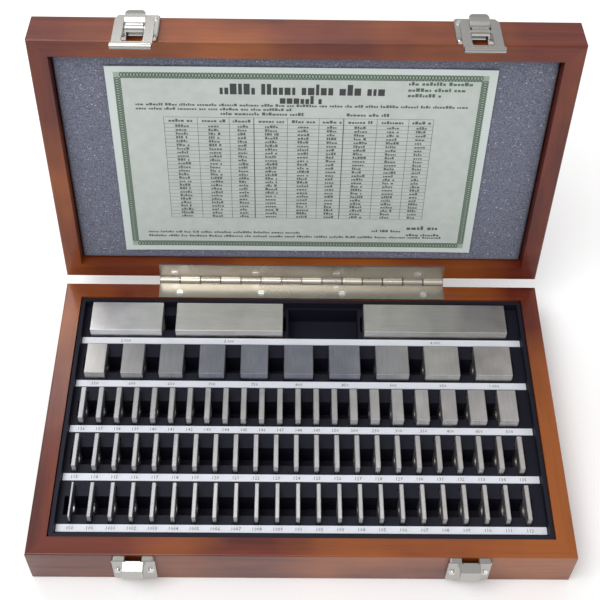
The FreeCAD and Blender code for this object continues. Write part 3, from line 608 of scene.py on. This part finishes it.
def foam_pad(low, high, columns=260, rows=160, crown=FOAM_CROWN, edge=FOAM_EDGE):
    """Front surface, sides and back of the pad in the lid's plane, as a closed grid.

    With u and v from -1 to 1 over the pad, the front's depth below its plane is
    crown (1 - cos(pi u / 2) cos(pi v / 2)), plus edge (1 - sqrt(1 - (1 - d / edge)^2)) within
    the distance d = edge of a side, plus a random grain that dies out at the sides. The back is
    the same grid laid flat on the lid panel.
    """
    u, v = np.meshgrid(np.linspace(-1, 1, columns), np.linspace(-1, 1, rows), indexing="ij")
    half, centre = (high - low) / 2, (high + low) / 2
    near_side = np.minimum((1 - np.abs(u)) * half[0], (1 - np.abs(v)) * half[1])
    inside = np.clip(near_side / edge, 0, 1)
    fall = edge * (1 - np.sqrt(np.clip(1 - (1 - inside) ** 2, 0, 1)))
    grain = np.random.default_rng(7).normal(0.0, FOAM_GRAIN, u.shape) * inside
    dome = crown * (1 - np.cos(u * np.pi / 2) * np.cos(v * np.pi / 2))
    depth = low[2] + dome + fall + np.abs(grain)
    front = lid_point(centre[0] + u * half[0], centre[1] + v * half[1], depth)
    back = lid_point(centre[0] + u * half[0], centre[1] + v * half[1], high[2])
    points = np.concatenate([front.reshape(-1, 3), back.reshape(-1, 3)])
    index = np.arange(columns * rows).reshape(columns, rows)
    quads = open_grid(columns, rows)
    ring = np.concatenate([index[:-1, 0], index[-1, :-1], index[:0:-1, -1], index[0, :0:-1]])
    after = np.roll(ring, -1)
    offset = columns * rows
    walls = np.stack([after, ring, ring + offset, after + offset], axis=-1)
    return points, np.concatenate([quads, quads[:, ::-1] + offset, walls])


foam = Finish("charcoal foam", (0.07, 0.08, 0.10), 0.95)
cells = foam.add("ShaderNodeTexVoronoi")
cells.inputs["Scale"].default_value = 1300.0
foam.link(foam.place, cells.inputs["Vector"])
cloud = foam.noise(1100.0, 3.0, 0.7)
# Painted shade and highlight: the darkest tone stands for shade in the cell hollows, the palest
# (rim) for light on the cell rims.
painted_hollow_shade, surface, rim = (0.062, 0.067, 0.098), (0.162, 0.172, 0.235), (0.31, 0.32, 0.39)
tone_with_painted_light = foam.ramp(cloud, (0.32, painted_hollow_shade), (0.52, surface), (0.72, rim))
# Painted highlights: pale specks where cells catch the light.
painted_glints = foam.ramp(cells.outputs["Color"], (0.88, 0.0), (0.95, 1.0))
foam.colour(foam.mix(painted_glints, tone_with_painted_light, (0.50, 0.51, 0.57)))
foam.bump(cloud, 0.8, 0.0006)
pad = new_mesh("foam_lining", *foam_pad(foam_low, foam_high), smooth=True)
foam.dress(pad)
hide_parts("lid_foam")
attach(pad, "lid")
print("foam pad", [round(float(s) / MM, 1) for s in foam_high - foam_low], "mm")

# %% [markdown]
# ## Certificate
# A sheet of pale green security paper lies on the foam. A sheet is never quite flat, so it is a
# grid with a slow wave that lifts its corners a fraction of a millimetre. Its print is a border
# of crossing waves, two title lines, and a table. It says nothing that can be read: every letter
# and figure is a small box of ink, set in words and lines.

# %% Certificate sheet
paper_low, paper_high = in_lid("certificate")
PAPER = (paper_high + paper_low) / 2
PAPER_HALF = (paper_high - paper_low) / 2
PAPER_THICKNESS = 0.25 * MM
CORNER_CURL, SHEET_WAVE = 0.5 * MM, 0.12 * MM


def paper_depth(u, v):
    """Depth of the sheet's face: its corners curl towards the reader, its middle lies down."""
    curl = CORNER_CURL * np.abs(u * v) ** 6
    wave = SHEET_WAVE * (np.sin(2.1 * u + 0.6) * np.cos(1.7 * v) + 1)
    return paper_low[2] - curl - wave


def on_paper(u, v, rise=0.0):
    """Frame point on the sheet, u and v from -1 to 1 (v up the sheet), rise towards the reader."""
    x = PAPER[0] + u * PAPER_HALF[0]
    from_hinge = PAPER[1] + v * PAPER_HALF[1]
    return lid_point(x, from_hinge, paper_depth(u, v) - rise)


u, v = np.meshgrid(np.linspace(-1, 1, 60), np.linspace(-1, 1, 40), indexing="ij")
sheet_points = on_paper(u, v).reshape(-1, 3)
sheet = new_mesh("certificate_sheet", sheet_points, open_grid(*u.shape), smooth=True)
thickness = sheet.modifiers.new("paper thickness", "SOLIDIFY")
thickness.thickness = PAPER_THICKNESS
thickness.offset = -1.0
paper = Finish("pale green paper", (0.52, 0.61, 0.55), 0.7)
mottle = paper.noise(120.0, 3.0)
paper.colour(paper.ramp(mottle, (0.35, (0.485, 0.53, 0.50)), (0.65, (0.53, 0.575, 0.55))))
paper.dress(sheet)
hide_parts("certificate")
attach(sheet, "lid")

# %% Print on the certificate
PRINT_RISE = 0.05 * MM


def bars(boxes, rise, pieces):
    """Thin printed boxes (u0, u1, v0, v1), each a grid of pieces by pieces that bends too."""
    parts = []
    for u0, u1, v0, v1 in boxes:
        across, up = np.linspace(u0, u1, pieces + 1), np.linspace(v0, v1, pieces + 1)
        u, v = np.meshgrid(across, up, indexing="ij")
        parts.append((on_paper(u, v, rise).reshape(-1, 3), open_grid(*u.shape)))
    return joined(parts)


def printed(name, boxes, finish, rise=PRINT_RISE, pieces=24):
    """A piece of print on the sheet that turns with the lid."""
    piece = new_mesh(name, *bars(boxes, rise, pieces))
    finish.dress(piece)
    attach(piece, "lid")


def ring_of_bars(out_u, out_v, in_u, in_v):
    """Four boxes that fill the frame between an outer and an inner rectangle."""
    return [
        (-out_u, out_u, in_v, out_v),
        (-out_u, out_u, -out_v, -in_v),
        (-out_u, -in_u, -in_v, in_v),
        (in_u, out_u, -in_v, in_v),
    ]


def ribbon(u, v, width):
    """A line along points (u, v) on the sheet, widened across its own direction."""
    run, rise = np.gradient(u) * PAPER_HALF[0], np.gradient(v) * PAPER_HALF[1]
    length = np.hypot(run, rise)
    side_u = -rise / length * width / 2 / PAPER_HALF[0]
    side_v = run / length * width / 2 / PAPER_HALF[1]
    wide_u, wide_v = np.stack([u - side_u, u + side_u], 1), np.stack([v - side_v, v + side_v], 1)
    edges = on_paper(wide_u, wide_v, 2 * PRINT_RISE)
    return edges.reshape(-1, 3), open_grid(len(u), 2)[:, ::-1]


green_ink = Finish("dark green ink", (0.085, 0.125, 0.10), 0.6)
band_ink = Finish("pale green ink", (0.33, 0.42, 0.33), 0.6)
pale_ink = Finish("pale margin", (0.60, 0.66, 0.64), 0.7)
black_ink = Finish("black printing ink", (0.045, 0.05, 0.05), 0.6)

edge_u, edge_v = 0.958, 0.945
in_u, in_v = 0.926, 0.893
printed("certificate_margin", ring_of_bars(1, 1, edge_u, edge_v), pale_ink, 0.5 * PRINT_RISE)
printed("certificate_band", ring_of_bars(edge_u, edge_v, in_u, in_v), band_ink, 0.5 * PRINT_RISE)
printed("certificate_line", ring_of_bars(in_u, in_v, in_u - 0.004, in_v - 0.007), green_ink)
WAVES_ACROSS, WAVES_UP, WAVE_POINTS = 56, 37, 900
WAVE_LINE = 0.7 * MM
waves = []
for phase in (0.0, 0.5):
    for side in (-1, 1):
        t = np.linspace(0, 1, WAVE_POINTS)
        swing_v = (edge_v - in_v) / 2.3 * np.sin(2 * np.pi * (WAVES_ACROSS * t + phase))
        waves.append(ribbon(-in_u + 2 * in_u * t, side * (edge_v + in_v) / 2 + swing_v, WAVE_LINE))
        swing_u = (edge_u - in_u) / 2.3 * np.sin(2 * np.pi * (WAVES_UP * t + phase))
        waves.append(ribbon(side * (edge_u + in_u) / 2 + swing_u, -in_v + 2 * in_v * t, WAVE_LINE))
border = new_mesh("certificate_border", *joined(waves))
green_ink.dress(border)
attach(border, "lid")

# %% Table and lines of type
rng = np.random.default_rng(3)
TABLE_U, TABLE_V = (-0.72, 0.70), (-0.60, 0.505)
HEADER_HEIGHT = 0.070
COLUMN_SHARES = np.tile([1.12, 1.06, 0.82], 3)
TABLE_ROWS = 27
RULE_U, RULE_V = 0.0011, 0.0016
column_edges = np.concatenate([[0], np.cumsum(COLUMN_SHARES) / COLUMN_SHARES.sum()])
column_edges = TABLE_U[0] + column_edges * (TABLE_U[1] - TABLE_U[0])
row_edges = np.append(np.linspace(TABLE_V[0], TABLE_V[1] - HEADER_HEIGHT, TABLE_ROWS), TABLE_V[1])
rules = [(u - RULE_U, u + RULE_U, *TABLE_V) for u in column_edges]
rules += [(u - 2 * RULE_U, u + 2 * RULE_U, *TABLE_V) for u in column_edges[3:-1:3]]
rules += [(*TABLE_U, v - RULE_V, v + RULE_V) for v in row_edges]
printed("certificate_table", rules, green_ink)


def letters(u0, u1, v, height, gap=0.2, space=0.6, widths=(0.4, 0.9)):
    """A line of type: a box for each letter, whose width is a random share of its height.

    Letters differ in height like those with and without a stem, and every three to nine of them
    a space follows. Widths are scaled from the sheet's height to its width.
    """
    unit = height * PAPER_HALF[1] / PAPER_HALF[0]
    boxes = []
    left_in_word = rng.integers(3, 9)
    while u0 < u1:
        width = unit * rng.uniform(*widths)
        rise = rng.choice([0.62, 0.68, 1.0])
        boxes.append((u0, u0 + width, v - height / 2, v - height / 2 + height * rise))
        u0 += width + unit * gap
        left_in_word -= 1
        if left_in_word == 0:
            u0 += unit * space
            left_in_word = rng.integers(3, 9)
    return boxes


figures = []
for u0, u1 in zip(column_edges[:-1], column_edges[1:]):
    for v0, v1 in zip(row_edges[:-1], row_edges[1:]):
        header = v1 == row_edges[-1]
        reach = (u1 - u0) * (0.36 if header else 0.17)
        height = (v1 - v0) * (0.42 if header else 0.62)
        middle_u = (u0 + u1) / 2
        figures += letters(middle_u - reach, middle_u + reach, (v0 + v1) / 2, height)
title = letters(-0.42, 0.42, 0.79, 0.105, 0.12, 0.35, (0.22, 0.50))
title += letters(-0.11, 0.10, 0.69, 0.080, 0.12, 0.35, (0.30, 0.60))
small = []
for u0, u1, v, height in (
    (-0.86, 0.86, 0.632, 0.026),
    (-0.86, -0.05, 0.590, 0.026),
    (-0.42, 0.02, 0.545, 0.030),
    (0.24, 0.46, 0.545, 0.030),
    (-0.86, 0.02, -0.775, 0.024),
    (-0.86, 0.83, -0.822, 0.024),
    (0.42, 0.58, -0.745, 0.028),
    (0.62, 0.80, -0.705, 0.045),
    (0.62, 0.80, -0.790, 0.028),
    (0.55, 0.88, 0.860, 0.034),
    (0.55, 0.83, 0.800, 0.034),
    (0.55, 0.72, 0.745, 0.034),
):
    small += letters(u0, u1, v, height)
printed("certificate_figures", figures, green_ink, pieces=1)
printed("certificate_titles", title, black_ink, pieces=1)
printed("certificate_small_type", small, green_ink, pieces=1)
print("certificate printed with", len(figures), "figures and", len(small), "letters")

# %% [markdown]
# ## Floor, light and camera
# The set stands on a plain pale floor. A broad soft lamp above and in front lights the tray, a
# smaller one fills from the right, and one behind the lid shines in the tops of the blocks. The
# camera looks down from the front at about fifty degrees, as a person at a bench would.

# %% Floor
FLOOR = 3.0
floor_corners = [[-FLOOR, -FLOOR, 0], [FLOOR, -FLOOR, 0], [FLOOR, FLOOR, 0], [-FLOOR, FLOOR, 0]]
floor = new_mesh("floor", floor_corners, [[0, 1, 2, 3]])
floor_paint = Finish("pale floor", (0.95, 0.95, 0.95), 0.9)
floor_paint.dress(floor)


# %% Lamps


def softbox(name, place, aim, size, power):
    """A rectangular white lamp at a place, turned to face its aim."""
    lamp = bpy.data.lights.new(name, "AREA")
    lamp.shape = "RECTANGLE"
    lamp.size, lamp.size_y = size
    lamp.energy = power
    holder = bpy.data.objects.new(name, lamp)
    bpy.context.scene.collection.objects.link(holder)
    direction = Vector(aim) - Vector(place)
    facing = direction.to_track_quat("-Z", "Y").to_matrix().to_4x4()
    holder.matrix_world = Matrix.Translation(place) @ facing


softbox("key", (-0.5, -0.5, 1.5), (0, 0, 0.05), (1.2, 1.0), 16.5)
softbox("fill", (1.1, -0.6, 0.9), (0, 0.05, 0.1), (0.8, 0.8), 2.5)
softbox("back", (-0.35, 0.95, 1.15), (0, -0.05, 0.03), (1.1, 0.5), 7.0)
world = bpy.data.worlds.new("studio")
world.use_nodes = True
world.node_tree.nodes["Background"].inputs["Color"].default_value = (1.0, 1.0, 1.0, 1.0)
world.node_tree.nodes["Background"].inputs["Strength"].default_value = 0.55
bpy.context.scene.world = world

# %% Camera
LENS, LENS_SHIFT = 69.8, -0.133
CAMERA_PLACE = (-0.0121, -0.4037, 0.7175)
pitch, yaw, roll = math.radians(-50.2), math.radians(-1.1), math.radians(1.4)
camera_data = bpy.data.cameras.new("camera")
camera_data.sensor_width = 36.0
camera_data.lens = LENS
camera_data.shift_y = LENS_SHIFT
camera = bpy.data.objects.new("camera", camera_data)
bpy.context.scene.collection.objects.link(camera)
tilt = Matrix.Rotation(math.pi / 2 + pitch, 4, "X")
turn = Matrix.Rotation(yaw, 4, "Z") @ tilt @ Matrix.Rotation(roll, 4, "Z")
camera.matrix_world = Matrix.Translation(CAMERA_PLACE) @ turn
bpy.context.scene.camera = camera
bpy.context.scene.view_settings.view_transform = "Standard"
